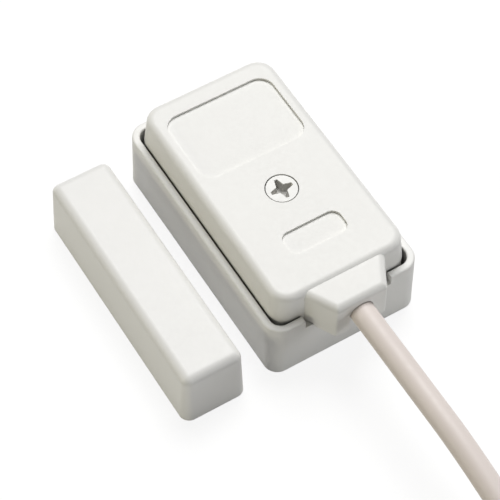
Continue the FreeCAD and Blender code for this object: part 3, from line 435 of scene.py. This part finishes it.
def make_tips():
    """A short bare strand on from each core's end, in the line of its last stretch."""
    stretch = math.degrees(CORE_LENGTH / OUTER / CORE_STRETCHES)
    mesh = bmesh.new()
    for number in range(len(CORE_COLOURS)):
        radius = OUTER + (number // 2 - 1) * COLUMN_PITCH
        height = TOP - LEAD / 2 + (UPPER_ROW if number in UPPER_CORES else LOWER_ROW)
        end = Vector(coil_place(radius, OPEN_ANGLE - stretch * CORE_STRETCHES, height))
        before = Vector(coil_place(radius, OPEN_ANGLE - stretch * (CORE_STRETCHES - 0.5), height))
        ahead = (end - before).normalized()
        turn = ahead.to_track_quat("Z", "Y").to_matrix().to_4x4()
        middle = Matrix.Translation(end + ahead * (TIP_LENGTH - TIP_OVERLAP) / 2)
        bmesh.ops.create_cone(
            mesh,
            cap_ends=True,
            segments=16,
            radius1=TIP_WIDTH / 2,
            radius2=TIP_WIDTH / 2,
            depth=TIP_LENGTH + TIP_OVERLAP,
            matrix=middle @ turn,
        )
    add_piece("core_tips", mesh, copper)


# Head of the coil's tie, with the strap's end cut short behind it

TIE_HEAD = (4.6, 5.2, 3.2)
TIE_HEAD_EDGE = 0.5
TIE_HEAD_FOOT = (COIL_AT[0] - COIL_MIDDLE / 2 + 2.0, COIL_AT[1], LEAD * 3 + 0.5)
STRAP_END = (2.6, 3.0, 0.9)
STRAP_END_EDGE = 0.2
STRAP_END_BEHIND, STRAP_END_LEVEL = 2.9, 1.7


def rounded_block(mesh, size, middle, rounding):
    """Adds a block with all its edges rounded."""
    made = bmesh.ops.create_cube(mesh, size=1.0)["verts"]
    bmesh.ops.scale(mesh, vec=size, verts=made)
    bmesh.ops.translate(mesh, vec=middle, verts=made)
    edges = list({edge for vert in made for edge in vert.link_edges})
    bmesh.ops.bevel(mesh, geom=edges, offset=rounding, segments=3, profile=0.5, affect="EDGES")


def make_tie_head():
    mesh = bmesh.new()
    x, y, z = TIE_HEAD_FOOT
    rounded_block(mesh, TIE_HEAD, (x, y, z + TIE_HEAD[2] / 2), TIE_HEAD_EDGE)
    rounded_block(mesh, STRAP_END, (x - STRAP_END_BEHIND, y, z + STRAP_END_LEVEL), STRAP_END_EDGE)
    add_piece("tie_head", mesh, nylon)


# Floor and light. A lamp has a place and a size in metres, a power in watts and a colour.

LAMPS = {
    "key": ((0.35, 0.45, 1.1), 0.8, 13.9, (1.0, 1.0, 1.0)),
    "fill_left": ((-0.46, 0.0, 0.08), 0.18, 0.51, (1.0, 0.96, 0.76)),
    "fill_front": ((0.30, -0.81, 0.06), 0.24, 1.72, (0.95, 0.975, 1.0)),
}
WORLD_SOFT, WORLD_SEEN = 0.09, 1.0
FLOOR_SIZE = 4.0
# The paper's colour as it lights the object, and as the camera sees it with its own glow
PAPER = [(0.3, (0.48, 0.475, 0.455)), (0.7, (0.50, 0.495, 0.475))]
SEEN_PAPER = (0.20, 0.20, 0.20, 1)
SEEN_GLOW = 0.86


def make_floor():
    bpy.ops.mesh.primitive_plane_add(size=FLOOR_SIZE, location=(0, 0, 0))
    floor = bpy.context.object
    floor.name = "floor"
    material, tree = new_material("floor_paper")
    rays = tree.nodes.new("ShaderNodeLightPath")
    seen = add(tree, "ShaderNodeMath", i0=rays.outputs["Is Camera Ray"], i1=rays.outputs["Is Glossy Ray"])
    seen.operation = "MAXIMUM"
    seen = add(tree, "ShaderNodeMath", i0=seen.outputs[0], i1=rays.outputs["Is Transmission Ray"])
    seen.operation = "MAXIMUM"
    plain = add(tree, "ShaderNodeBsdfDiffuse", Color=ramp(tree, noise(tree, 0.8), PAPER))
    paper = add(tree, "ShaderNodeBsdfDiffuse", Color=SEEN_PAPER)
    glow = add(tree, "ShaderNodeEmission", Color=(1, 1, 1, 1), Strength=SEEN_GLOW)
    bright = add(tree, "ShaderNodeAddShader", i0=paper.outputs[0], i1=glow.outputs[0])
    mixed = add(tree, "ShaderNodeMixShader", Fac=seen.outputs[0], i1=plain.outputs[0], i2=bright.outputs[0])
    floor.data.materials.append(cover(material, tree, mixed))


def make_lamp(name, place, size, power, colour):
    """A square soft lamp that looks at the object."""
    data = bpy.data.lights.new(name, "AREA")
    data.shape = "SQUARE"
    data.size = size
    data.energy = power
    data.color = colour
    lamp = bpy.data.objects.new(name, data)
    scene.collection.objects.link(lamp)
    place = Vector(place)
    lamp.matrix_world = Matrix.Translation(place) @ (-place).to_track_quat("-Z", "Y").to_matrix().to_4x4()


def make_light():
    world = bpy.data.worlds.new("studio")
    scene.world = world
    world.use_nodes = True
    tree = world.node_tree
    tree.nodes.clear()
    seen = tree.nodes.new("ShaderNodeLightPath").outputs["Is Camera Ray"]
    soft = add(tree, "ShaderNodeBackground", Color=(1, 1, 1, 1), Strength=WORLD_SOFT)
    white = add(tree, "ShaderNodeBackground", Color=(1, 1, 1, 1), Strength=WORLD_SEEN)
    mixed = add(tree, "ShaderNodeMixShader", Fac=seen, i1=soft.outputs[0], i2=white.outputs[0])
    output = tree.nodes.new("ShaderNodeOutputWorld")
    tree.links.new(mixed.outputs[0], output.inputs["Surface"])
    for name, values in LAMPS.items():
        make_lamp(name, *values)


make_camera()
make_lead()
make_tips()
make_tie_head()
make_floor()
make_light()
scene.view_settings.view_transform = "Standard"
